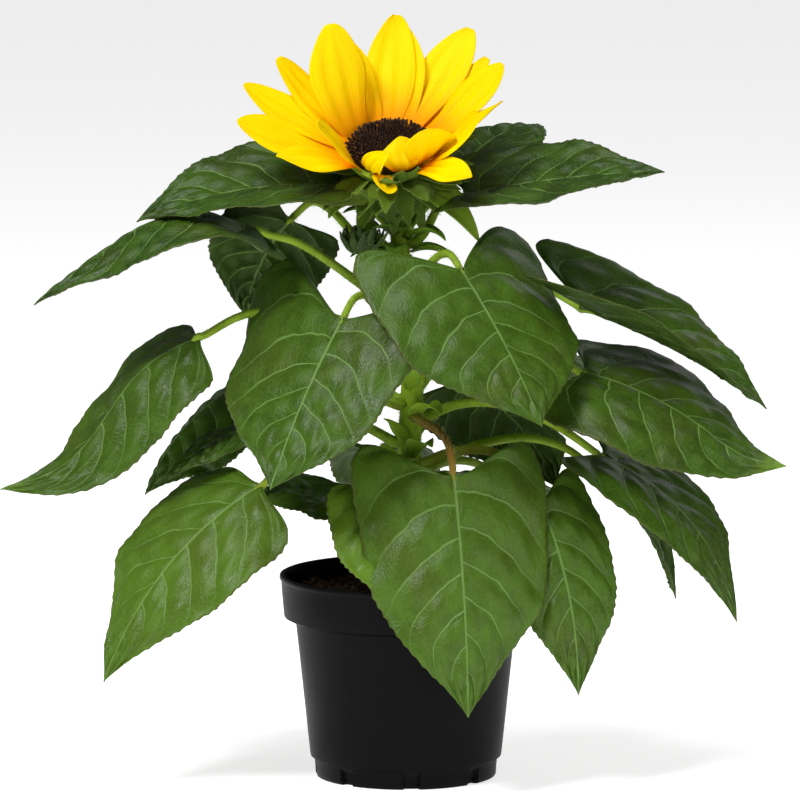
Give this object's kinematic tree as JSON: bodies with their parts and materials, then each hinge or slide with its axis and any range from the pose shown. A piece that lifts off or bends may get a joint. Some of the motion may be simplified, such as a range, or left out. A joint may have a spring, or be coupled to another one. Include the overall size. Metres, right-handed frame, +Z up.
{
  "type": "potted sunflower plant",
  "caption": "Potted sunflower plant: leafy stem, large heart-shaped leaves on long petioles, an open yellow flower and a green side bud, standing in a round black nursery pot.",
  "frame": {"origin": "middle of the flat underside of the pot, on the ground", "axes": "+Z up the stem from the ground, -Y towards the front of the plant, where the flower looks, +X to the right as seen from the front"},
  "size_m": [0.3704, 0.1925, 0.3595],
  "materials": {
    "pot": "satin black moulded plastic",
    "soil": "moist peat and coir crumbs",
    "stem": "hairy yellow-green stem",
    "petiole": "hairy light green stalk",
    "leaf": "quilted green leaf with pale veins",
    "bract": "hairy green bract",
    "disc": "dark brown disc florets",
    "ray": "soft yellow ray florets"
  },
  "bodies": {
    "root": {"pot": "pot", "soil": "soil", "stem": "stem", "petiole_front_centre": "petiole", "leaf_front_centre": "leaf", "petiole_front_left_low": "petiole", "leaf_front_left_low": "leaf", "petiole_front_right_low": "petiole", "leaf_front_right_low": "leaf", "petiole_left_low": "petiole", "leaf_left_low": "leaf", "petiole_right_low": "petiole", "leaf_right_low": "leaf", "petiole_right_thin": "petiole", "leaf_right_thin": "leaf", "petiole_left_back": "petiole", "leaf_left_back": "leaf", "petiole_left_back_low": "petiole", "leaf_left_back_low": "leaf", "petiole_left_under": "petiole", "leaf_left_under": "leaf", "petiole_back_centre": "petiole", "leaf_back_centre": "leaf", "petiole_back_low": "petiole", "leaf_back_low": "leaf", "petiole_back_right_low": "petiole", "leaf_back_right_low": "leaf", "petiole_right_mid": "petiole", "leaf_right_mid": "leaf", "petiole_left_mid": "petiole", "leaf_left_mid": "leaf", "petiole_back_right": "petiole", "leaf_back_right": "leaf", "petiole_back_left": "petiole", "leaf_back_left": "leaf", "petiole_front_left_high": "petiole", "leaf_front_left_high": "leaf", "petiole_front_right_high": "petiole", "leaf_front_right_high": "leaf", "petiole_right_high": "petiole", "leaf_right_high": "leaf", "petiole_left_high": "petiole", "leaf_left_high": "leaf", "petiole_left_shaded": "petiole", "leaf_left_shaded": "leaf", "petiole_left_top": "petiole", "leaf_left_top": "leaf", "petiole_right_top": "petiole", "leaf_right_top": "leaf", "petiole_back_right_top": "petiole", "leaf_back_right_top": "leaf", "petiole_back_left_top": "petiole", "leaf_back_left_top": "leaf", "flower_cup": "bract", "flower_disc": "disc", "ray_crown": "ray", "side_bud": "bract"}
  },
  "joints": []
}
